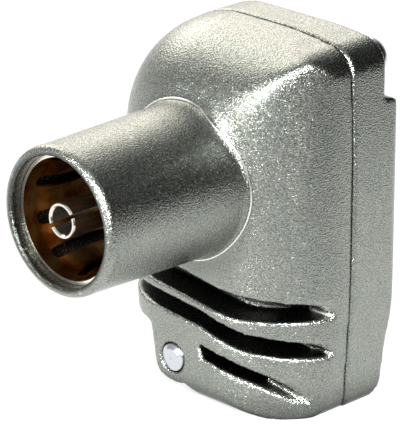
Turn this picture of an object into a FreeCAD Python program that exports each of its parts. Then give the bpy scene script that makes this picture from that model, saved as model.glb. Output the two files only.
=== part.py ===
import FreeCAD, Part
import math
import os

V = FreeCAD.Vector
os.makedirs("parts", exist_ok=True)

# Right-angle coaxial socket, 9.5 mm size, in a hinged die-cast housing.
# Frame: origin at the centre of the socket's mouth, -Y out of the mouth, +Z up, cable leaves down.
# All sizes are millimetres.

# barrel of the front casting
barrel_r_mouth = 6.4
barrel_r_root = 6.75
bore_r = 5.55
bore_depth = 12.2
rim_round = 0.65

# main form of both castings
face_y = 14.5
parting_y = 22.6
parting_gap = 0.2
half_width = 11.5
side_bulge = 0.35
front_round = 7.6
side_round = 9.0
left_draft = 0.085
right_draft = 0.3
roof_z = 12.6
roof_fall = 0.45
roof_crown_x = 3.0
shoulder_r = 2.7
left_arch_r = 10.4
foot_z = -19.9
foot_round = 1.9
foot_corner_r = 1.6
wall = 1.6

# rear casting: its depth behind the parting line, and the pad that stands up from its back
cover_proud = 0.1
cover_edge_r = 1.0
cover_depth = 4.1
pad_rise = 1.55
pad_bow = 0.35
pad_top_z = 7.0
cover_wall = 1.5

# ear at the lower left, tapped for the closing screw
ear_x = -1.5
ear_z = -16.7
ear_r = 2.45
ear_step_z = -14.2
lid_screw_r = 1.3
lid_head_r = 2.2
lid_head_h = 1.6
lid_seat_depth = 2.3
lid_slot_clearance = 0.15
running_clearance = 0.04
under_head_gap = 0.05

# cable channel, half in each casting
cable_x = 3.2
cable_r = 3.5
channel_wall = 1.5
channel_top_z = -6.0
grip_height = 0.35
grip_width = 0.7
grip_pitch = 2.4
grip_count = 3
channel_mouth = 4.0
chamber_floor_z = -8.0

# hinge rivet at the upper right, the rear casting swings on it
pivot_x = half_width - 2.6
pivot_z = roof_z - 2.7
pivot_r = 1.1
pivot_boss_r = 2.3
pivot_head_r = 1.8
pivot_head_h = 1.5
rivet_foot_wall = 4.6

# socket insides
sleeve_front_y = 1.1
sleeve_band = 1.9
sleeve_wall = 0.3
sleeve_seat_clearance = 0.03
finger_count = 8
finger_slot_w = 1.1
finger_bow = 0.5
contact_front_y = 0.55
contact_outer_r = 1.55
contact_bore_r = 1.2
contact_bore_len = 7.0
contact_slit = 0.35
insulator_depth = 2.3
insulator_neck_half = 2.6
insulator_rear = 0.6
stem_r = 0.95
stem_tail_r = 0.9
fit_gap = 0.02

# inner conductor terminal
terminal_gap = 2.3
terminal_depth = 3.9
terminal_half_h = 2.3
terminal_left = 2.3
terminal_right = 2.4
wire_hole_r = 0.75
wire_hole_in = 1.5
terminal_screw_r = 1.2
terminal_screw_in = 1.6
terminal_head_r = 1.9
terminal_head_h = 1.1
terminal_seat_gap = 0.3

# longer than the whole object, for cuts that go right through
far = 90.0
root_half = math.sqrt(0.5)


def arc(a, b, c):
    return Part.Arc(V(*a), V(*b), V(*c)).toShape()


def seg(a, b):
    return Part.makeLine(V(*a), V(*b))


def prism(edges, direction):
    wire = Part.Wire(Part.__sortEdges__(edges))
    return Part.Face(wire).extrude(V(*direction))


def cyl_y(r, y0, y1, x=0.0, z=0.0):
    return Part.makeCylinder(r, y1 - y0, V(x, y0, z), V(0, 1, 0))


def cyl_z(r, z0, z1, x, y):
    return Part.makeCylinder(r, z1 - z0, V(x, y, z0), V(0, 0, 1))


def box(x0, x1, y0, y1, z0, z1):
    return Part.makeBox(x1 - x0, y1 - y0, z1 - z0, V(x0, y0, z0))


def turned(points):
    """Solid of revolution about the Y axis from (radius, y) corners."""
    ring = [V(r, y, 0) for r, y in points]
    wire = Part.makePolygon(ring + [ring[0]])
    return Part.Face(wire).revolve(V(0, 0, 0), V(0, 1, 0), 360)


def save(name, shape):
    shape = shape.removeSplitter()
    if len(shape.Solids) == 1:
        shape = shape.Solids[0]
    shape.exportStep("parts/" + name + ".step")


def on_circle(cx, cz, r, degrees):
    a = math.radians(degrees)
    return cx + r * math.cos(a), cz + r * math.sin(a)


# FRONT VIEW OUTLINE
# A nearly flat roof, a tight shoulder over the rivet at the right, one wide arch at the left, sides
# that swell slightly, a foot with round corners, and at the lower left a step in to an ear that is
# concentric with the closing screw.
def outline(inset, y0, y1, with_ear=True, foot=None):
    w = half_width - inset
    top = roof_z - inset
    low = (foot_z + inset) if foot is None else foot
    r = max(shoulder_r - inset, 0.4)
    arch_r = left_arch_r - inset
    corner = max(foot_corner_r - inset, 0.3)
    y = y0
    arch_x = -w + arch_r
    arch_z = top - arch_r
    fall_end = w - r
    fall_z = top - roof_fall
    elbow = (fall_end + r * root_half, fall_z - r + r * root_half)
    fall_mid = (0.5 * (roof_crown_x + fall_end), top - 0.27 * roof_fall)
    side_top = fall_z - r
    side_low = low + corner
    side_mid = 0.65 * side_top + 0.35 * side_low
    low_w = w - right_draft
    edges = [seg((arch_x, y, top), (roof_crown_x, y, top)),
             arc((roof_crown_x, y, top), (fall_mid[0], y, fall_mid[1]), (fall_end, y, fall_z)),
             arc((fall_end, y, fall_z), (elbow[0], y, elbow[1]), (w, y, side_top)),
             arc((w, y, side_top), (w + side_bulge, y, side_mid), (low_w, y, side_low)),
             arc((low_w, y, side_low), (low_w - corner + corner * root_half, y, low + corner - corner * root_half),
                 (low_w - corner, y, low)),
             arc((-w, y, arch_z), (arch_x - arch_r * root_half, y, arch_z + arch_r * root_half),
                 (arch_x, y, top))]
    if with_ear:
        er = ear_r - inset
        step = ear_step_z + inset
        at = [on_circle(ear_x, ear_z, er, a) for a in (180, 240, 300)]
        neck = at[0][0] - 0.5
        turn = 0.6 * corner
        step_w = -w + left_draft * (arch_z - step - turn)
        edges.append(seg((-w, y, arch_z), (step_w, y, step + turn)))
        edges.append(arc((step_w, y, step + turn),
                         (step_w + turn - turn * root_half, y, step + turn - turn * root_half),
                         (step_w + turn, y, step)))
        edges.append(seg((step_w + turn, y, step), (neck, y, step)))
        edges.append(seg((neck, y, step), (at[0][0], y, at[0][1])))
        edges.append(arc((at[0][0], y, at[0][1]), (at[1][0], y, at[1][1]), (at[2][0], y, at[2][1])))
        edges.append(seg((at[2][0], y, at[2][1]), (at[2][0] + 1.4, y, low)))
        edges.append(seg((at[2][0] + 1.4, y, low), (low_w - corner, y, low)))
    else:
        end_w = -w + left_draft * (arch_z - low)
        edges.append(seg((-w, y, arch_z), (end_w, y, low)))
        edges.append(seg((end_w, y, low), (low_w - corner, y, low)))
    return prism(edges, (0, y1 - y0, 0))


# PLAN OF THE FRONT CASTING
# The whole depth of the front casting is one large rounding from the flat front into the sides.
def plan(inset):
    front = face_y + inset
    back = parting_y
    wr = half_width + side_bulge - inset
    r = side_round - inset
    end_x = wr - r + math.sqrt(r * r - (front + r - back) ** 2)
    mid = math.radians(0.5 * math.degrees(math.acos((end_x - wr + r) / r)) + 45.0)
    z = -far
    edges = [seg((-far, front, z), (wr - r, front, z)),
             arc((wr - r, front, z), (wr - r + r * math.cos(mid), front + r - r * math.sin(mid), z),
                 (end_x, back, z)),
             seg((end_x, back, z), (-far, back, z)),
             seg((-far, back, z), (-far, front, z))]
    right_side = prism(edges, (0, 0, 2 * far))
    # the left side leans in below the arch, as the casting narrows to the foot
    r = front_round - inset
    lean_from = roof_z - left_arch_r
    wl = half_width - inset - left_draft * (lean_from + far)
    edges = [seg((far, front, z), (-wl + r, front, z)),
             arc((-wl + r, front, z), (-wl + r - r * root_half, front + r - r * root_half, z),
                 (-wl, front + r, z)),
             seg((-wl, front + r, z), (-wl, back, z)),
             seg((-wl, back, z), (far, back, z)),
             seg((far, back, z), (far, front, z))]
    left_side = prism(edges, (-left_draft * 2 * far, 0, 2 * far))
    return right_side.common(left_side)


# SIDE PROFILE OF THE FRONT CASTING
# The same rounding carries the front over into the roof, and a small one runs under the foot.
def profile(inset):
    front = face_y + inset
    top = roof_z - inset
    low = foot_z + inset
    r = front_round - inset
    f = max(foot_round - inset, 0.3)
    x = -far
    edges = [seg((x, front, low + f), (x, front, top - r)),
             arc((x, front, top - r), (x, front + r - r * root_half, top - r + r * root_half),
                 (x, front + r, top)),
             seg((x, front + r, top), (x, parting_y, top)),
             seg((x, parting_y, top), (x, parting_y, low)),
             seg((x, parting_y, low), (x, front + f, low)),
             arc((x, front + f, low), (x, front + f - f * root_half, low + f - f * root_half),
                 (x, front, low + f))]
    return prism(edges, (2 * far, 0, 0))


# DOME
# Over the left arch the same rounding is turned about the arch's centre, so roof and side flow together.
def outside_dome(inset):
    w = half_width - inset
    arch_r = left_arch_r - inset
    r = front_round - inset
    front = face_y + inset
    cx = -w + arch_r
    cz = roof_z - inset - arch_r
    h = r * root_half
    edges = [seg((0, front, 0), (arch_r - r, front, 0)),
             arc((arch_r - r, front, 0), (arch_r - r + h, front + r - h, 0), (arch_r, front + r, 0)),
             seg((arch_r, front + r, 0), (arch_r, parting_y + 1, 0)),
             seg((arch_r, parting_y + 1, 0), (0, parting_y + 1, 0)),
             seg((0, parting_y + 1, 0), (0, front, 0))]
    face = Part.Face(Part.Wire(Part.__sortEdges__(edges)))
    dome = face.revolve(V(0, 0, 0), V(0, 1, 0), 360)
    dome.translate(V(cx, 0, cz))
    return box(-far, cx, 0, far, cz, far).cut(dome)


def front_form(inset, foot=None, with_ear=True):
    form = outline(inset, face_y - 1.0, parting_y, with_ear, foot)
    return form.common(plan(inset)).common(profile(inset)).cut(outside_dome(inset))


# GRILLE CUTS
# Each cut is lofted across the width from cross-sections: mouth top and bottom, floor top and bottom.
def grille_cut(stations, floor_y):
    wires = []
    for x, mouth_top, mouth_low, floor_top, floor_low in stations:
        corners = [V(x, face_y - 1.0, mouth_top), V(x, floor_y, floor_top),
                   V(x, floor_y, floor_low), V(x, face_y - 1.0, mouth_low)]
        wires.append(Part.makePolygon(corners + [corners[0]]))
    return Part.makeLoft(wires, True, True)


def channel(y0, y1):
    hollow = cyl_z(cable_r, foot_z - 3.0, channel_top_z, cable_x, parting_y)
    for i in range(grip_count):
        z = foot_z + channel_mouth + i * grip_pitch
        ring = cyl_z(cable_r + 1.0, z, z + grip_width, cable_x, parting_y)
        ring = ring.cut(cyl_z(cable_r - grip_height, z - 1, z + grip_width + 1, cable_x, parting_y))
        hollow = hollow.cut(ring)
    return hollow.common(box(-far, far, y0, y1, -far, far))


# FRONT CASTING
# The fins sweep down to the right across the front and level out round the corner.
right = half_width + 1.5
left = -half_width - 1.5
slot_floor = parting_y - 1.6

cut_1 = grille_cut([(left, -7.3, -9.3, -8.0, -9.3), (-0.7, -8.1, -10.35, -8.9, -10.3),
                    (5.5, -8.9, -11.15, -9.7, -11.1), (right, -9.3, -11.1, -10.0, -11.0)], slot_floor)
cut_2 = grille_cut([(left, -10.5, -12.0, -11.0, -12.0), (-3.6, -10.8, -12.35, -11.3, -12.3),
                    (2.0, -11.35, -12.85, -11.9, -12.8), (6.1, -12.3, -13.95, -12.9, -13.9),
                    (right, -12.8, -14.8, -13.7, -14.75)], slot_floor)
cut_3 = grille_cut([(ear_x, -14.0, -15.2, -14.3, -15.2), (3.2, -14.7, -15.85, -15.0, -15.85),
                    (6.4, -15.3, -16.6, -15.6, -16.6), (right, -17.6, -19.0, -17.9, -18.9)], slot_floor - 1.8)
ear_core = cyl_y(ear_r + 1.2, 0, far, ear_x, ear_z)
cut_3 = cut_3.cut(ear_core)

# the cuts stop at the wall around the cable channel, and at a shallow floor left of it
guard_r = cable_r + channel_wall
guard = cyl_z(guard_r, -far, far, cable_x, parting_y)
guard = guard.fuse(box(-far, cable_x, parting_y - guard_r, far, -far, far))
cuts = cut_1.fuse([cut_2, cut_3]).cut(guard)

front = front_form(0.0)
barrel_end = face_y + 0.7 * wall
rim = [on_circle(barrel_r_mouth - rim_round, rim_round, rim_round, a) for a in range(-90, 1, 15)]
barrel = turned([(0, 0)] + rim + [(barrel_r_root, barrel_end), (0, barrel_end)])
front = front.fuse(barrel)
front = front.cut(cuts)

cavity = front_form(wall, foot=chamber_floor_z, with_ear=False)
boss = cyl_y(pivot_boss_r, face_y, parting_y, pivot_x, pivot_z)
boss = boss.fuse(box(pivot_x, far, face_y, parting_y, pivot_z - pivot_boss_r, far))
boss = boss.fuse(box(pivot_x - pivot_boss_r, far, face_y, parting_y, pivot_z, far))
cavity = cavity.cut(boss)
front = front.cut(cavity)
front = front.cut(channel(0, parting_y + 1))
front = front.cut(cyl_y(bore_r, -1, bore_depth))
mouth_flare = turned([(0, -1), (bore_r + 0.35, -1), (bore_r + 0.35, 0.0), (bore_r, 0.5), (0, 0.5)])
front = front.cut(mouth_flare)
neck = insulator_neck_half + fit_gap
front = front.cut(box(-neck, neck, 0, face_y + wall + 1, -neck, neck))
front = front.cut(cyl_y(pivot_r, face_y + rivet_foot_wall, far, pivot_x, pivot_z))
front = front.cut(cyl_y(lid_screw_r + running_clearance, 0, far, ear_x, ear_z))

# small tool mark in the lower lip
mark = Part.makeSphere(1.6, V(4.6, face_y - 1.45, -17.65))
front = front.cut(mark)
save("front_housing", front)

# REAR CASTING
cover_front = parting_y + parting_gap
cover_back = parting_y + cover_depth
pad_back = cover_back + pad_rise
lid_seat_y = parting_y + lid_seat_depth


def back_profile(back, roof, top, low):
    """Side profile of one level of the back: round at the top, bowed, chamfered at the foot."""
    x = -far
    r = cover_edge_r
    edges = [seg((x, cover_front, low), (x, cover_front, roof)),
             seg((x, cover_front, roof), (x, back - r, top)),
             arc((x, back - r, top), (x, back - r + r * root_half, top - r + r * root_half), (x, back, top - r)),
             arc((x, back, top - r), (x, back + pad_bow, -3.0), (x, back - 1.4, low + 1.9)),
             seg((x, back - 1.4, low + 1.9), (x, back - 2.4, low)),
             seg((x, back - 2.4, low), (x, cover_front, low))]
    return prism(edges, (2 * far, 0, 0))


def cover_plan(back):
    w = half_width + side_bulge + cover_proud
    wl = half_width + cover_proud
    r = cover_edge_r
    z = -far
    edges = [seg((-wl, cover_front, z), (w, cover_front, z)),
             seg((w, cover_front, z), (w, back - r, z)),
             arc((w, back - r, z), (w - r + r * root_half, back - r + r * root_half, z), (w - r, back + pad_bow, z)),
             seg((w - r, back + pad_bow, z), (-wl + r, back + pad_bow, z)),
             arc((-wl + r, back + pad_bow, z), (-wl + r - r * root_half, back - r + r * root_half, z),
                 (-wl, back - r, z)),
             seg((-wl, back - r, z), (-wl, cover_front, z))]
    return prism(edges, (0, 0, 2 * far))


cover = outline(-cover_proud, cover_front, pad_back + 1)
cover_roof = roof_z + cover_proud
cover_foot = foot_z - cover_proud
plate = back_profile(cover_back, cover_roof, cover_roof, cover_foot).common(cover_plan(cover_back))
pad = back_profile(pad_back, pad_top_z, pad_top_z, cover_foot).common(cover_plan(pad_back))
cover = cover.common(plate.fuse(pad))
inner = outline(cover_wall + 0.4, cover_front - 1, cover_back - cover_wall, False, chamber_floor_z)
pivot_pad = cyl_y(pivot_boss_r, 0, far, pivot_x, pivot_z)
pivot_pad = pivot_pad.fuse(box(pivot_x, far, 0, far, pivot_z - pivot_boss_r, far))
pivot_pad = pivot_pad.fuse(box(pivot_x - pivot_boss_r, far, 0, far, pivot_z, far))
cover = cover.cut(inner.cut(pivot_pad))
cover = cover.cut(channel(parting_y - 1, far))

# the rear casting turns on the rivet
cover = cover.cut(cyl_y(pivot_r + running_clearance, 0, far, pivot_x, pivot_z))

# half-round hook for the closing screw, and the low flat under its head: past the screw the casting
# ends on an arc about the rivet, so it swings clear of the screw
swing_x = ear_x - pivot_x
swing_z = ear_z - pivot_z
swing_r = math.hypot(swing_x, swing_z)


def swing_clear(half_w, y0):
    outside = cyl_y(far, y0, far, pivot_x, pivot_z).cut(cyl_y(swing_r - half_w, 0, 2 * far, pivot_x, pivot_z))
    side = Part.makeBox(far, far, 2 * far, V(-far, 0, -far))
    side.rotate(V(0, 0, 0), V(0, 1, 0), math.degrees(math.atan2(swing_x, swing_z)) + 180.0)
    side.translate(V(ear_x, 0, ear_z))
    return outside.common(side).fuse(cyl_y(half_w, y0, far, ear_x, ear_z))


cover = cover.cut(swing_clear(lid_screw_r + lid_slot_clearance, 0))
cover = cover.cut(swing_clear(lid_head_r + 0.4, lid_seat_y))
save("rear_cover", cover)

# HINGE RIVET
# Pressed into the front casting, with a domed head over the back.
rivet_y = face_y + rivet_foot_wall + 0.2
rivet_seat = cover_back + pad_bow + under_head_gap
dome = []
dome_r = (pivot_head_r ** 2 + pivot_head_h ** 2) / (2 * pivot_head_h)
for i in range(9):
    a = math.asin(pivot_head_r / dome_r) * (8 - i) / 8
    dome.append((dome_r * math.sin(a), rivet_seat + 0.25 + pivot_head_h - dome_r + dome_r * math.cos(a)))
rivet = turned([(0, rivet_y), (pivot_r - 0.3, rivet_y), (pivot_r, rivet_y + 0.3), (pivot_r, rivet_seat),
                (pivot_head_r, rivet_seat)] + dome)
rivet.translate(V(pivot_x, 0, pivot_z))
save("hinge_rivet", rivet)

# CLOSING SCREW
# Its tip shows flush in the front of the ear, its head clamps the hook of the rear casting.
seat = lid_seat_y + under_head_gap
tip = face_y - 0.05
lid = turned([(0, tip - 0.12), (lid_screw_r - 0.5, tip - 0.1), (lid_screw_r - 0.1, tip + 0.1),
              (lid_screw_r, tip + 0.3), (lid_screw_r, seat), (lid_head_r, seat),
              (lid_head_r, seat + 0.7), (lid_head_r - 0.35, seat + 1.15),
              (lid_head_r - 1.0, seat + lid_head_h - 0.1), (0, seat + lid_head_h)])
lid.translate(V(ear_x, 0, ear_z))
slot = box(ear_x - 3, ear_x + 3, seat + lid_head_h - 0.8, seat + 5, ear_z - 0.3, ear_z + 0.3)
save("closing_screw", lid.cut(slot))

# SPRING SLEEVE
# One strip rolled to a tube: plain bands at both ends, long slots, and fingers that bow inward.
ro = bore_r - sleeve_seat_clearance
ri = ro - sleeve_wall
sleeve_rear = bore_depth - 0.1
finger_front_y = sleeve_front_y + sleeve_band
finger_rear_y = sleeve_rear - sleeve_band
finger_inner_r = ri - finger_bow
mid_y = 0.5 * (finger_front_y + finger_rear_y)
slot_in_r = 0.6 * bore_r


def bowed(r_end, r_mid):
    a = seg((r_end, sleeve_front_y, 0), (r_end, finger_front_y, 0))
    b = arc((r_end, finger_front_y, 0), (r_mid, mid_y, 0), (r_end, finger_rear_y, 0))
    c = seg((r_end, finger_rear_y, 0), (r_end, sleeve_rear, 0))
    return [a, b, c]


strip = bowed(ro, finger_inner_r + sleeve_wall) + bowed(ri, finger_inner_r)
strip.append(seg((ro, sleeve_front_y, 0), (ri, sleeve_front_y, 0)))
strip.append(seg((ro, sleeve_rear, 0), (ri, sleeve_rear, 0)))
sleeve = Part.Face(Part.Wire(Part.__sortEdges__(strip))).revolve(V(0, 0, 0), V(0, 1, 0), 360)
half_w = 0.5 * finger_slot_w
window = box(-half_w, half_w, finger_front_y + half_w, finger_rear_y - half_w, slot_in_r, bore_r + 1)
window = window.fuse(cyl_z(half_w, slot_in_r, bore_r + 1, 0, finger_front_y + half_w))
window = window.fuse(cyl_z(half_w, slot_in_r, bore_r + 1, 0, finger_rear_y - half_w))
for i in range(finger_count):
    one = window.copy()
    one.rotate(V(0, 0, 0), V(0, 1, 0), (i + 0.5) * 360.0 / finger_count)
    sleeve = sleeve.cut(one)
save("spring_sleeve", sleeve)

# CENTRE CONTACT
insulator_front_y = bore_depth - insulator_depth
collar_y = insulator_front_y + 0.55 * insulator_depth
terminal_front_y = face_y + terminal_gap
stem_end = terminal_front_y + 0.66 * terminal_depth
contact = turned([(contact_bore_r + 0.1, contact_front_y), (contact_outer_r - 0.08, contact_front_y),
                  (contact_outer_r, contact_front_y + 0.15), (contact_outer_r, collar_y),
                  (stem_r, collar_y), (stem_r, terminal_front_y), (stem_tail_r, terminal_front_y),
                  (stem_tail_r, stem_end), (0, stem_end), (0, contact_front_y + contact_bore_len),
                  (contact_bore_r, contact_front_y + contact_bore_len), (contact_bore_r, contact_front_y + 0.12)])
slit = box(-0.5 * contact_slit, 0.5 * contact_slit, -1, contact_front_y + contact_bore_len - 1.0, -4, 4)
slit.rotate(V(0, 0, 0), V(0, 1, 0), 60)
save("centre_contact", contact.cut(slit))

# INSULATOR
# Disc behind the contact's collar, with a square neck in the front wall that stops it from turning.
disc_r = ri - 0.05
insulator_back = face_y + wall + insulator_rear
insulator = cyl_y(disc_r, insulator_front_y, bore_depth)
insulator = insulator.fuse(box(-insulator_neck_half, insulator_neck_half, insulator_front_y + 0.2, insulator_back,
                               -insulator_neck_half, insulator_neck_half))
insulator = insulator.cut(cyl_y(stem_r + fit_gap, 0, far)).cut(cyl_y(contact_outer_r + fit_gap, 0, collar_y))
save("insulator", insulator)

# TERMINAL BLOCK
# Pressed on the stem, drilled for the inner conductor beside it, tapped from the back.
back_y = terminal_front_y + terminal_depth
block = box(-terminal_left, cable_x + terminal_right, terminal_front_y, back_y, -terminal_half_h, terminal_half_h)
corners = [e for e in block.Edges if abs(e.BoundBox.YLength - terminal_depth) < 1e-6]
block = block.makeFillet(0.35 * terminal_half_h, corners)
block = block.cut(cyl_y(stem_tail_r, 0, stem_end + 0.1))
block = block.cut(cyl_z(wire_hole_r, -far, far, cable_x, terminal_front_y + wire_hole_in))
screw_bottom = terminal_front_y + terminal_screw_in
block = block.cut(cyl_y(terminal_screw_r + running_clearance, screw_bottom, far, cable_x, 0))
save("terminal_block", block)

# TERMINAL SCREW
seat_t = back_y + terminal_seat_gap
tscrew = turned([(0, screw_bottom + 0.4), (terminal_screw_r - 0.3, screw_bottom + 0.4),
                 (terminal_screw_r, screw_bottom + 0.7), (terminal_screw_r, seat_t),
                 (terminal_head_r, seat_t), (terminal_head_r, seat_t + terminal_head_h - 0.2),
                 (terminal_head_r - 0.2, seat_t + terminal_head_h), (0, seat_t + terminal_head_h)])
tscrew.translate(V(cable_x, 0, 0))
tslot = box(cable_x - 3, cable_x + 3, seat_t + terminal_head_h - 0.6, seat_t + 5, -0.25, 0.25)
save("terminal_screw", tscrew.cut(tslot))
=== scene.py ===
import math

import bpy
from mathutils import Matrix, Vector


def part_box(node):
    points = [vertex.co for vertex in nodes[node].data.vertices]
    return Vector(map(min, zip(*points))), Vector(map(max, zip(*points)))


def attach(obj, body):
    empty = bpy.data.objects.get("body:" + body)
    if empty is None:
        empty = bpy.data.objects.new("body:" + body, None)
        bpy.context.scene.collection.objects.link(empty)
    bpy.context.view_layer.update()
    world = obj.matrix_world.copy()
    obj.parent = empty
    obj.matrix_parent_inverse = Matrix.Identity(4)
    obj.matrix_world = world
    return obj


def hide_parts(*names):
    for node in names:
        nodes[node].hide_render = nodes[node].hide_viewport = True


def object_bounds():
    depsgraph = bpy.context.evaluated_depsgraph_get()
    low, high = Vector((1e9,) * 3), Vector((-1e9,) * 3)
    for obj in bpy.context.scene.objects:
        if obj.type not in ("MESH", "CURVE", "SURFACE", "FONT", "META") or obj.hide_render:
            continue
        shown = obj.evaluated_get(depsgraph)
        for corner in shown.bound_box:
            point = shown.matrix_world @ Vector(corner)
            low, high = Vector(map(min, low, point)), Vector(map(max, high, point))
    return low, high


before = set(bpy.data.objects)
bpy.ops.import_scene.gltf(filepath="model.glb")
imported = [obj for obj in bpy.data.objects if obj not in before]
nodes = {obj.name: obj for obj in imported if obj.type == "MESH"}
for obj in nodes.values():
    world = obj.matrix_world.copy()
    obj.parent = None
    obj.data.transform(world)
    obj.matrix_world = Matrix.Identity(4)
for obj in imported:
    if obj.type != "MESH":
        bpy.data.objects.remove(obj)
cad_low, cad_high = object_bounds()
mm = 0.001

# CAMERA AND STUDIO
# The photograph is a close product shot from the right and above, through a long lens. The socket
# stands on a white sheet, under two soft lamps at its left and two small ones, before its mouth and by
# the camera, that draw the glints. Black flags, which only reflections see, darken its right and dome.
photo_px = (400, 426)
focal_px = 3200.0
film_width = 36.0
camera_place = Vector((0.179859, -0.162105, 0.092355))
camera_aim = Vector((0.001441, 0.014964, -0.002742))
camera_data = bpy.data.cameras.new("photo_camera")
camera_data.sensor_width = film_width
camera_data.lens = focal_px * film_width / max(photo_px)
camera_data.clip_start = 0.005
camera_data.clip_end = 10.0
camera = bpy.data.objects.new("photo_camera", camera_data)
bpy.context.collection.objects.link(camera)
camera.rotation_mode = "QUATERNION"
camera.rotation_quaternion = (camera_place - camera_aim).normalized().to_track_quat("Z", "Y")
camera.location = camera_place
bpy.context.scene.camera = camera
bpy.context.scene.view_settings.view_transform = "Standard"


def add(tree, kind, inputs=None, **settings):
    """Adds one node: settings are its own properties, inputs are socket values or links."""
    made = tree.nodes.new(kind)
    for key, value in settings.items():
        setattr(made, key, value)
    for key, value in (inputs or {}).items():
        if isinstance(value, bpy.types.NodeSocket):
            tree.links.new(value, made.inputs[key])
        else:
            made.inputs[key].default_value = value
    return made


def tint(code):
    """sRGB hex colour to the linear values that a shader takes."""
    parts = [int(code[i:i + 2], 16) / 255.0 for i in (1, 3, 5)]
    linear = [c / 12.92 if c <= 0.04045 else ((c + 0.055) / 1.055) ** 2.4 for c in parts]
    return (*linear, 1.0)


def blank(name):
    """A new material and its tree, still without nodes."""
    made = bpy.data.materials.new(name)
    made.use_nodes = True
    made.node_tree.nodes.clear()
    return made, made.node_tree


def surface(tree, shader):
    """Makes this shader the material's surface."""
    add(tree, "ShaderNodeOutputMaterial", {"Surface": shader.outputs[0]})


world = bpy.data.worlds.new("studio")
world.use_nodes = True
world.node_tree.nodes.clear()
air = add(world.node_tree, "ShaderNodeBackground", {"Color": tint("#d2d4d2"), "Strength": 0.80})
add(world.node_tree, "ShaderNodeOutputWorld", {"Surface": air.outputs[0]})
bpy.context.scene.world = world

# white photo paper: matt, even, keeps the object's soft shadow
glow_share = 0.7
paper, tree = blank("matt_white_photo_paper")
path = add(tree, "ShaderNodeLightPath")
seen = add(tree, "ShaderNodeMath", {0: path.outputs["Is Camera Ray"], 1: path.outputs["Is Glossy Ray"]},
           operation="ADD")
seen = add(tree, "ShaderNodeMath", {0: seen.outputs[0], 1: path.outputs["Is Transmission Ray"]},
           operation="ADD", use_clamp=True)
share = add(tree, "ShaderNodeMath", {0: seen.outputs[0], 1: glow_share}, operation="MULTIPLY")
sheet = add(tree, "ShaderNodeBsdfDiffuse", {"Color": tint("#fbfbfb")})
glow = add(tree, "ShaderNodeEmission", {"Color": tint("#ffffff"), "Strength": 1.0})
surface(tree, add(tree, "ShaderNodeMixShader", {0: share.outputs[0], 1: sheet.outputs[0], 2: glow.outputs[0]}))
bpy.ops.object.select_all(action="DESELECT")
bpy.ops.mesh.primitive_plane_add(size=3.0, location=(0.0, 0.0, cad_low.z))
floor = bpy.context.object
floor.name = "paper_floor"
floor.data.materials.append(paper)

# black felt of the flags
felt, tree = blank("black_flag_felt")
surface(tree, add(tree, "ShaderNodeBsdfDiffuse", {"Color": tint("#1c1c1c")}))


def flag(name, place, width, height):
    """A card facing the socket, which neither shades it nor shows to the camera."""
    bpy.ops.object.select_all(action="DESELECT")
    bpy.ops.mesh.primitive_plane_add(size=1.0)
    card = bpy.context.object
    card.name = name
    card.scale = (width, height, 1.0)
    card.rotation_mode = "QUATERNION"
    card.rotation_quaternion = Vector(place).to_track_quat("Z", "Y")
    card.location = place
    card.data.materials.append(felt)
    card.visible_camera = False
    card.visible_diffuse = False
    card.visible_shadow = False


flag("flag_behind_right", (0.062, 0.078, 0.034), 0.20, 0.10)
flag("flag_above_right", (0.16, 0.26, 0.30), 0.30, 0.30)
flag("flag_right", (0.056, -0.012, 0.001), 0.10, 0.062)
flag("flag_before_root", (0.018, -0.034, -0.024), 0.060, 0.026)
flag("flag_over_mouth", (-0.140, -0.150, 0.165), 0.12, 0.11)


def softbox(name, place, size, power, code):
    """A rectangular lamp that faces the socket."""
    lamp_data = bpy.data.lights.new(name, "AREA")
    lamp_data.shape = "RECTANGLE"
    lamp_data.size, lamp_data.size_y = size
    lamp_data.energy = power
    lamp_data.color = tint(code)[:3]
    lamp = bpy.data.objects.new(name, lamp_data)
    bpy.context.collection.objects.link(lamp)
    lamp.location = place
    lamp.rotation_mode = "QUATERNION"
    lamp.rotation_quaternion = Vector(place).to_track_quat("Z", "Y")
    lamp.visible_camera = False


softbox("lamp_behind_left", (-0.41, 0.31, 0.29), (0.50, 0.36), 1.65, "#fff6ec")
softbox("lamp_left", (-0.46, 0.02, 0.36), (0.30, 0.26), 1.1, "#fffaf2")
softbox("lamp_before_mouth", (0.002, -0.39, 0.112), (0.04, 0.06), 1.8, "#ffffff")
softbox("lamp_by_camera", (0.274, -0.171, 0.158), (0.05, 0.05), 2.6, "#ffffff")

# TWO CASTINGS
# Zinc die castings, tumbled so that every edge is softly rounded, then nickel plated: a satin grey
# metal with a fine grit that sparkles. Painted shade darkens its hollows and the barrel's bore, and its
# edges are lighter, partly from rubbed plating and partly from a painted highlight.
casting_grid = 0.215 * mm
merge_gap = 0.001 * mm
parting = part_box("front_housing")[1].y


def alone(piece):
    """Leaves only this piece selected and active."""
    bpy.ops.object.select_all(action="DESELECT")
    piece.select_set(True)
    bpy.context.view_layer.objects.active = piece


def turned(name, stations, steps=128):
    """A closed ring about the socket's axis, drawn through (radius, depth) stations in mm."""
    bpy.ops.object.select_all(action="DESELECT")
    radius, depth = stations[0]
    bpy.ops.mesh.primitive_circle_add(vertices=steps, radius=radius * mm, location=(0, depth * mm, 0),
                                      rotation=(math.pi / 2, 0, 0))
    made = bpy.context.object
    made.name = name
    bpy.ops.object.transform_apply(location=True, rotation=True, scale=True)
    bpy.ops.object.mode_set(mode="EDIT")
    bpy.ops.mesh.select_all(action="SELECT")
    for wide, deep in stations[1:] + stations[:1]:
        bpy.ops.mesh.extrude_region_move(TRANSFORM_OT_translate={"value": (0, (deep - depth) * mm, 0)})
        bpy.ops.transform.resize(value=(wide / radius, 1, wide / radius), center_override=(0, deep * mm, 0))
        radius, depth = wide, deep
    bpy.ops.mesh.select_all(action="SELECT")
    bpy.ops.mesh.remove_doubles(threshold=merge_gap)
    bpy.ops.mesh.normals_make_consistent(inside=False)
    bpy.ops.object.mode_set(mode="OBJECT")
    return made


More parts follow.
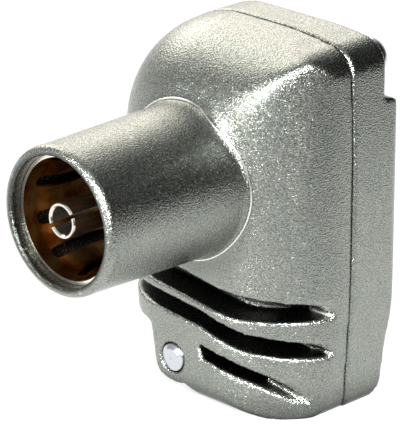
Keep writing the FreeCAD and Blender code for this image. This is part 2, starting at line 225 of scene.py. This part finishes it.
def ramp(value, start, end):
    """0 before start, 1 after end, eased between."""
    t = min(1.0, max(0.0, (value - start) / (end - start)))
    return t * t * (3.0 - 2.0 * t)


def ease(cast, passes, share):
    """Smooths a casting, each point by its own share of every pass."""
    group = cast.vertex_groups.new(name="eased")
    for point in cast.data.vertices:
        group.add([point.index], share(point.co), "REPLACE")
    alone(cast)
    worn = cast.modifiers.new("worn", "SMOOTH")
    worn.factor = 0.5
    worn.iterations = passes
    worn.vertex_group = "eased"
    bpy.ops.object.modifier_apply(modifier="worn")
    cast.vertex_groups.clear()
    bpy.ops.object.shade_smooth()


def tumbled(node_name, piece_name, passes, share, added=()):
    """A copy of a CAD casting with its edges worn round: an even skin, fitted, then eased."""
    mesh = nodes[node_name].data.copy()
    mesh.name = piece_name
    mesh.materials.clear()
    cast = bpy.data.objects.new(piece_name, mesh)
    bpy.context.collection.objects.link(cast)
    alone(cast)
    bpy.ops.object.mode_set(mode="EDIT")
    bpy.ops.mesh.select_all(action="SELECT")
    bpy.ops.mesh.remove_doubles(threshold=merge_gap)
    bpy.ops.mesh.normals_make_consistent(inside=False)
    bpy.ops.object.mode_set(mode="OBJECT")
    if added:
        for part in added:
            part.select_set(True)
        bpy.ops.object.join()
    pattern = bpy.data.objects.new("pattern", cast.data.copy())
    bpy.context.collection.objects.link(pattern)
    skin = cast.modifiers.new("skin", "REMESH")
    skin.mode = "VOXEL"
    skin.voxel_size = casting_grid
    bpy.ops.object.modifier_apply(modifier="skin")
    fit = cast.modifiers.new("fit", "SHRINKWRAP")
    fit.target = pattern
    bpy.ops.object.modifier_apply(modifier="fit")
    bpy.data.meshes.remove(pattern.data)
    ease(cast, passes, share)
    return cast


foot_drop, foot_push, foot_lowest = 0.50, 0.35, -19.95
foot_x, foot_z, foot_y = (7.0, 10.5), (15.5, 18.8), (24.0, 26.0)


def fill_foot(cast):
    """The corner of the foot below the parting line is fuller than a plain round."""
    for point in cast.data.vertices:
        x, y, z = (value / mm for value in point.co)
        full = ramp(x, *foot_x) * ramp(-z, *foot_z)
        point.co.z = max(point.co.z - foot_drop * mm * full, foot_lowest * mm)
        point.co.y += foot_push * mm * full * ramp(y, *foot_y)


def mapped(tree, value, span, result):
    """A value carried from one span to another and held at its ends."""
    inputs = {0: value, 1: span[0], 2: span[1], 3: result[0], 4: result[1]}
    return add(tree, "ShaderNodeMapRange", inputs).outputs[0]


def speckle(tree, size, detail, coarse=0.5):
    """Noise with grains of about this size, fixed to the piece."""
    place = add(tree, "ShaderNodeTexCoord").outputs["Object"]
    made = add(tree, "ShaderNodeTexNoise", {"Vector": place, "Scale": 1.0 / size, "Detail": detail,
                                            "Roughness": coarse})
    return made.outputs["Fac"]


def two_tone(tree, value, span, codes):
    """Runs from one colour to another as the value crosses a span."""
    made = add(tree, "ShaderNodeValToRGB", {0: value})
    for element, position, code in zip(made.color_ramp.elements, span, codes):
        element.position = position
        element.color = tint(code)
    return made.outputs[0]


def blended(tree, share, below, above, **settings):
    """Two colours mixed by a share."""
    return add(tree, "ShaderNodeMix", {0: share, 6: below, 7: above}, data_type="RGBA", **settings).outputs[2]


bore_radius = (5.80 * mm, 6.05 * mm)
bore_depth = (3.0 * mm, 4.0 * mm)
bore_shade = (0.35, 1.0)


def nickel(name, grit_size):
    """Satin nickel on tumbled zinc, with painted shade in hollows and in the barrel's bore, and edges lightened
    by rubbed plating and a painted highlight.
    """
    made, tree = blank(name)
    place = add(tree, "ShaderNodeTexCoord").outputs["Object"]
    grit = speckle(tree, grit_size, 2.0, 0.7)
    hue = two_tone(tree, speckle(tree, 3.0 * mm, 3.0, 0.55), (0.35, 0.65), ("#8f948e", "#959791"))
    # lighter on sharp convex edges: partly rubbed plating, partly a painted highlight
    edge = add(tree, "ShaderNodeNewGeometry").outputs["Pointiness"]
    color = blended(tree, mapped(tree, edge, (0.54, 0.66), (0.0, 0.8)), hue, tint("#b8b9b3"))
    grain = mapped(tree, grit, (0.32, 0.68), (0.6, 1.4))
    color = blended(tree, 1.0, color, grain, blend_type="MULTIPLY")

    # painted shade: darker where little open air reaches (grooves, inner corners) and deep inside the barrel's
    # bore
    open_air = add(tree, "ShaderNodeAmbientOcclusion", {"Distance": 4.0 * mm}, samples=8).outputs["AO"]
    hollow_shade = mapped(tree, open_air, (0.35, 0.90), (0.15, 1.0))
    across = add(tree, "ShaderNodeVectorMath", {0: place, 1: (1.0, 0.0, 1.0)}, operation="MULTIPLY")
    reach = add(tree, "ShaderNodeVectorMath", {0: across.outputs[0]}, operation="LENGTH").outputs["Value"]
    depth = add(tree, "ShaderNodeSeparateXYZ", {0: place}).outputs["Y"]
    bore = add(tree, "ShaderNodeMath", {0: mapped(tree, reach, bore_radius, bore_shade),
                                        1: mapped(tree, depth, bore_depth, bore_shade)}, operation="MAXIMUM")
    painted_shade = add(tree, "ShaderNodeMath", {0: hollow_shade, 1: bore.outputs[0]}, operation="MULTIPLY")
    color = blended(tree, 1.0, color, painted_shade.outputs[0], blend_type="MULTIPLY")

    pits = add(tree, "ShaderNodeTexVoronoi", {"Vector": place, "Scale": 0.8 / grit_size})
    height = add(tree, "ShaderNodeMath", {0: grit, 1: pits.outputs["Distance"]}, operation="ADD")
    relief = add(tree, "ShaderNodeBump", {"Height": height.outputs[0], "Strength": 1.0,
                                          "Distance": 0.03 * mm})
    surface(tree, add(tree, "ShaderNodeBsdfPrincipled",
                      {"Base Color": color, "Metallic": 1.0, "Normal": relief.outputs[0],
                       "Roughness": mapped(tree, grit, (0.3, 0.7), (0.18, 0.30))}))
    return made


satin_nickel = nickel("satin_nickel_on_tumbled_zinc", 0.12 * mm)

# the rim of the barrel: a flat land, rounded outside, (radius, depth) in mm
rim_land = turned("rim_land", [(5.56, 0.12), (5.66, 0.0), (5.98, 0.0), (6.22, 0.10), (6.37, 0.28),
                               (6.43, 0.55), (6.45, 0.9), (5.56, 0.9)])

# each cut runs out to a point at its right end: (y, bottom z, top z, inner x, outer x) in mm along its roof
cut_ends = [[(17.0, -8.7, -8.4, 7.4, 8.9), (19.0, -9.6, -8.6, 8.2, 10.5), (21.2, -10.9, -8.8, 8.7, 11.33)],
            [(16.8, -12.3, -11.9, 7.2, 8.7), (19.0, -13.2, -12.2, 7.8, 10.5), (21.2, -14.4, -12.4, 8.1, 11.33)],
            [(15.2, -15.4, -15.0, 5.2, 6.2), (17.0, -16.5, -15.6, 7.2, 8.95), (18.9, -17.8, -16.0, 8.6, 10.45)]]


def block(near, far):
    """A six-sided block between two stations of a cut's end."""
    bpy.ops.object.select_all(action="DESELECT")
    bpy.ops.mesh.primitive_cube_add(size=2.0)
    made = bpy.context.object
    for point in made.data.vertices:
        y, low, high, inner, outer = far if point.co.y > 0 else near
        point.co = Vector((outer if point.co.x > 0 else inner, y, high if point.co.z > 0 else low)) * mm
    return made


def front_wear(at):
    """Less at the rim and at the parting plane."""
    if at.y < 1.3 * mm:
        return 0.4
    return 0.25 if at.y > parting - 0.5 * mm else 1.0


fills = [block(near, far) for stations in cut_ends for near, far in zip(stations, stations[1:])]
front = tumbled("front_housing", "front_casting_tumbled", 6, front_wear, [rim_land] + fills)
front.data.materials.append(satin_nickel)
fill_foot(front)

# the crease where the roof turns into the right side is worn wide at its low end, tight at the parting;
# it follows where the roof's round and the side's round, both in mm, meet
roof_round, roof_centre_y, roof_centre_z = 7.6, 22.1, 5.0
side_round, side_centre_x, side_centre_y = 9.0, 2.85, 23.5
crease_low_z, crease_step, crease_count = 5.6, 0.56, 12
crease_width = 2.1 * mm
crease = []
for i in range(crease_count):
    z = crease_low_z + crease_step * i
    y = roof_centre_y - math.sqrt(roof_round ** 2 - (z - roof_centre_z) ** 2)
    x = side_centre_x + math.sqrt(side_round ** 2 - (side_centre_y - y) ** 2)
    crease.append((Vector((x, y, z)) * mm, 1.0 - 0.85 * ramp(x, 6.5, 10.0)))


def on_crease(at):
    """Most on the crease, falling off to both sides, and nothing elsewhere."""
    if at.x < 2.0 * mm or at.z < 2.0 * mm:
        return 0.0
    return max(math.exp(-((at - place).length / crease_width) ** 2) * width for place, width in crease)


skin_r, root_r, skin_y, root_y = (6.1, 6.5), (7.6, 8.4), (1.5, 2.5), (15.5, 16.2)


def on_barrel(at):
    """The barrel's outside and the fillet round its root."""
    reach, depth = math.hypot(at.x, at.z) / mm, at.y / mm
    across = ramp(reach, *skin_r) * (1.0 - ramp(reach, *root_r))
    return across * ramp(depth, *skin_y) * (1.0 - ramp(depth, *root_y))


ease(front, 180, on_crease)
ease(front, 24, on_barrel)
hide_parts("front_housing")
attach(front, "housing")

# the rear casting closes on the front one: its rim is drawn forward, over the running gap
cover = tumbled("rear_cover", "rear_casting_tumbled", 6,
                lambda at: 0.25 if at.y < parting + 0.6 * mm else 1.0)
rim_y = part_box("rear_cover")[0].y
rim_height = 0.30 * mm
rim_pull = 0.185 * mm
for point in cover.data.vertices:
    if point.co.y < rim_y + rim_height:
        point.co.y -= rim_pull * (1.0 - (point.co.y - rim_y) / rim_height)
fill_foot(cover)
cover.data.materials.append(satin_nickel)
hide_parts("rear_cover")
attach(cover, "cover")

# DIE LINE AND CUT-END FILLETS
# A hair line round the barrel's root, where two parts of the die met, and a small fillet in the
# corner at each cut's right end: both in near-white nickel that is a painted highlight.
def rubbed_metal(name, code, mark_size, detail, roughness, relief=0.0, coarse=0.5):
    """A metal whose handling marks scatter its shine, and dent it where relief is given."""
    made, tree = blank(name)
    marks = speckle(tree, mark_size, detail, coarse)
    shine = mapped(tree, marks, (0.3, 0.7), roughness)
    inputs = {"Base Color": tint(code), "Metallic": 1.0, "Roughness": shine}
    if relief:
        dents = add(tree, "ShaderNodeBump", {"Height": marks, "Strength": 0.6, "Distance": relief})
        inputs["Normal"] = dents.outputs[0]
    surface(tree, add(tree, "ShaderNodeBsdfPrincipled", inputs))
    return made


# near-white nickel: a painted highlight on the die line and on the cut-end fillets
highlight_nickel = rubbed_metal("painted_highlight_nickel", "#f0f0ea", 0.3 * mm, 2.0, (0.22, 0.34))

line_r, line_half_r, line_half_y, line_start_y = 6.97, 0.12, 0.10, 12.0
line_section = [(line_r - line_half_r, line_start_y), (line_r, line_start_y - line_half_y),
                (line_r + line_half_r, line_start_y), (line_r, line_start_y + line_half_y)]
witness = turned("barrel_witness_line", line_section, steps=160)
bpy.context.view_layer.update()
# each point is moved along the barrel until the line lies on the fillet
for point in witness.data.vertices:
    start = Vector((point.co.x, 0.0, point.co.z)).normalized() * line_r * mm
    start.y = 10.0 * mm
    hit, spot, normal, face = front.ray_cast(start, Vector((0.0, 1.0, 0.0)))
    point.co.y += spot.y - line_start_y * mm if hit else 2.5 * mm
alone(witness)
bpy.ops.object.shade_smooth()
witness.data.materials.clear()
witness.data.materials.append(highlight_nickel)
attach(witness, "housing")

land_r = 0.36 * mm
lands = [((8.7, 20.8, -10.95), (11.45, 20.65, -10.8)), ((8.1, 20.8, -14.8), (11.3, 20.65, -14.65)),
         ((8.7, 19.0, -18.2), (10.7, 18.9, -18.6))]
for i, (start, end) in enumerate(lands):
    start, end = Vector(start) * mm, Vector(end) * mm
    bpy.ops.object.select_all(action="DESELECT")
    bpy.ops.mesh.primitive_uv_sphere_add(segments=24, ring_count=16, radius=1.0)
    land = bpy.context.object
    land.name = f"cut_fillet_highlight_{i + 1}"
    land.scale = (land_r, land_r, 0.5 * (end - start).length)
    land.rotation_mode = "QUATERNION"
    land.rotation_quaternion = (end - start).to_track_quat("Z", "Y")
    land.location = (start + end) / 2
    alone(land)
    bpy.ops.object.transform_apply(location=True, rotation=True, scale=True)
    bpy.ops.object.shade_smooth()
    land.data.materials.append(highlight_nickel)
    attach(land, "housing")

# RIVET AND SCREWS
# Cold-headed and turned steel, barrel zinc plated: bright, slightly blue, with fine handling marks.
# The rivet is headed over at the back; the screws keep their CAD shapes.
def finish(node_name, material):
    """Gives a CAD piece its material."""
    slots = nodes[node_name].data.materials
    slots.clear()
    slots.append(material)


bright_zinc = rubbed_metal("bright_zinc_on_steel", "#c9cdd2", 0.35 * mm, 4.0, (0.14, 0.30), 0.012 * mm, 0.7)
for name in ("hinge_rivet", "closing_screw", "terminal_screw"):
    finish(name, bright_zinc)

# SPRING SLEEVE
# Bronze strip, slotted, rolled to a tube and bowed inward: amber, browner where it was heat treated,
# with a painted highlight as a near-white band at its sheared front edge. Its ten fingers grip the plug's
# shell.
strip_half = 0.15
bow = [(5.37, 1.10), (5.37, 2.2), (5.33, 2.6), (5.18, 3.1), (4.98, 3.8), (4.84, 4.6), (4.78, 5.6), (4.78, 6.6),
       (4.86, 7.6), (5.02, 8.5), (5.22, 9.3), (5.37, 9.9), (5.37, 12.1)]
inner = [(r - strip_half, y) for r, y in bow]
outer = [(r + strip_half, y) for r, y in reversed(bow)]
sleeve = turned("spring_sleeve_ten_fingers", inner + outer, steps=160)
slot_half, slot_start, slot_end, slot_count = 0.56, 2.9, 9.2, 10
slot_floor, slot_depth = 3.6, 3.0
cutters = []
for i in range(slot_count):
    bpy.ops.object.select_all(action="DESELECT")
    bpy.ops.mesh.primitive_circle_add(vertices=24, radius=slot_half * mm, fill_type="NGON",
                                      location=(0, slot_start * mm, slot_floor * mm))
    cutter = bpy.context.object
    bpy.ops.object.transform_apply(location=True, rotation=True, scale=True)
    for point in cutter.data.vertices:
        if point.co.y > slot_start * mm:
            point.co.y += (slot_end - slot_start) * mm
    bpy.ops.object.mode_set(mode="EDIT")
    bpy.ops.mesh.select_all(action="SELECT")
    bpy.ops.mesh.extrude_region_move(TRANSFORM_OT_translate={"value": (0, 0, slot_depth * mm)})
    bpy.ops.mesh.select_all(action="SELECT")
    bpy.ops.mesh.normals_make_consistent(inside=False)
    bpy.ops.object.mode_set(mode="OBJECT")
    turn = 90.0 - (i + 0.5) * 360.0 / slot_count
    cutter.data.transform(Matrix.Rotation(math.radians(turn), 4, "Y"))
    cutters.append(cutter)
alone(cutters[0])
for cutter in cutters:
    cutter.select_set(True)
bpy.ops.object.join()
punch = bpy.context.object
alone(sleeve)
slots = sleeve.modifiers.new("slots", "BOOLEAN")
slots.operation = "DIFFERENCE"
slots.object = punch
bpy.ops.object.modifier_apply(modifier="slots")
bpy.data.meshes.remove(punch.data)
bpy.ops.object.shade_smooth_by_angle(angle=math.radians(35.0))

edge_span = (1.12 * mm, 1.16 * mm)
bronze, tree = blank("rolled_spring_bronze")
heat = speckle(tree, 1.6 * mm, 2.0)
place = add(tree, "ShaderNodeTexCoord").outputs["Object"]
depth = add(tree, "ShaderNodeSeparateXYZ", {0: place}).outputs["Y"]
# painted highlight: a near-white band along the sleeve's sheared front edge
edge_highlight_band = mapped(tree, depth, edge_span, (1.0, 0.0))
color = blended(tree, edge_highlight_band, two_tone(tree, heat, (0.38, 0.62), ("#a0641f", "#d8b070")), tint("#f4efe2"))
relief = add(tree, "ShaderNodeBump", {"Height": heat, "Strength": 0.5, "Distance": 0.08 * mm})
surface(tree, add(tree, "ShaderNodeBsdfPrincipled", {"Base Color": color, "Metallic": 1.0, "Roughness": 0.24,
                                                     "Normal": relief.outputs[0]}))
sleeve.data.materials.clear()
sleeve.data.materials.append(bronze)
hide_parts("spring_sleeve")
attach(sleeve, "housing")

# CENTRE CONTACT AND ITS TERMINAL
# Turned brass: the split contact is silver plated over faint tool rings, and the terminal block, sawn
# from bar and drilled, is left bare. Both keep their CAD shapes.
silver, tree = blank("silver_plate_on_turned_brass")
place = add(tree, "ShaderNodeTexCoord").outputs["Object"]
rings = add(tree, "ShaderNodeTexWave", {"Vector": place, "Scale": 1.0 / (1.4 * mm), "Distortion": 0.4},
            bands_direction="Y")
relief = add(tree, "ShaderNodeBump", {"Height": rings.outputs["Fac"], "Strength": 0.4, "Distance": 0.01 * mm})
surface(tree, add(tree, "ShaderNodeBsdfPrincipled", {"Base Color": tint("#dedbd2"), "Metallic": 1.0,
                                                     "Roughness": 0.2, "Normal": relief.outputs[0]}))
finish("centre_contact", silver)
finish("terminal_block", rubbed_metal("sawn_and_drilled_brass", "#d3b36a", 0.4 * mm, 3.0, (0.22, 0.42)))

# INSULATOR
# Moulded black polypropylene: even and waxy, with the faint texture of its mould. It holds the
# contact's stem in the square hole behind the barrel.
plastic, tree = blank("moulded_black_polypropylene")
relief = add(tree, "ShaderNodeBump", {"Height": speckle(tree, 0.25 * mm, 2.0), "Strength": 0.4,
                                      "Distance": 0.02 * mm})
surface(tree, add(tree, "ShaderNodeBsdfPrincipled", {"Base Color": tint("#17140f"), "Roughness": 0.45,
                                                     "Normal": relief.outputs[0]}))
finish("insulator", plastic)
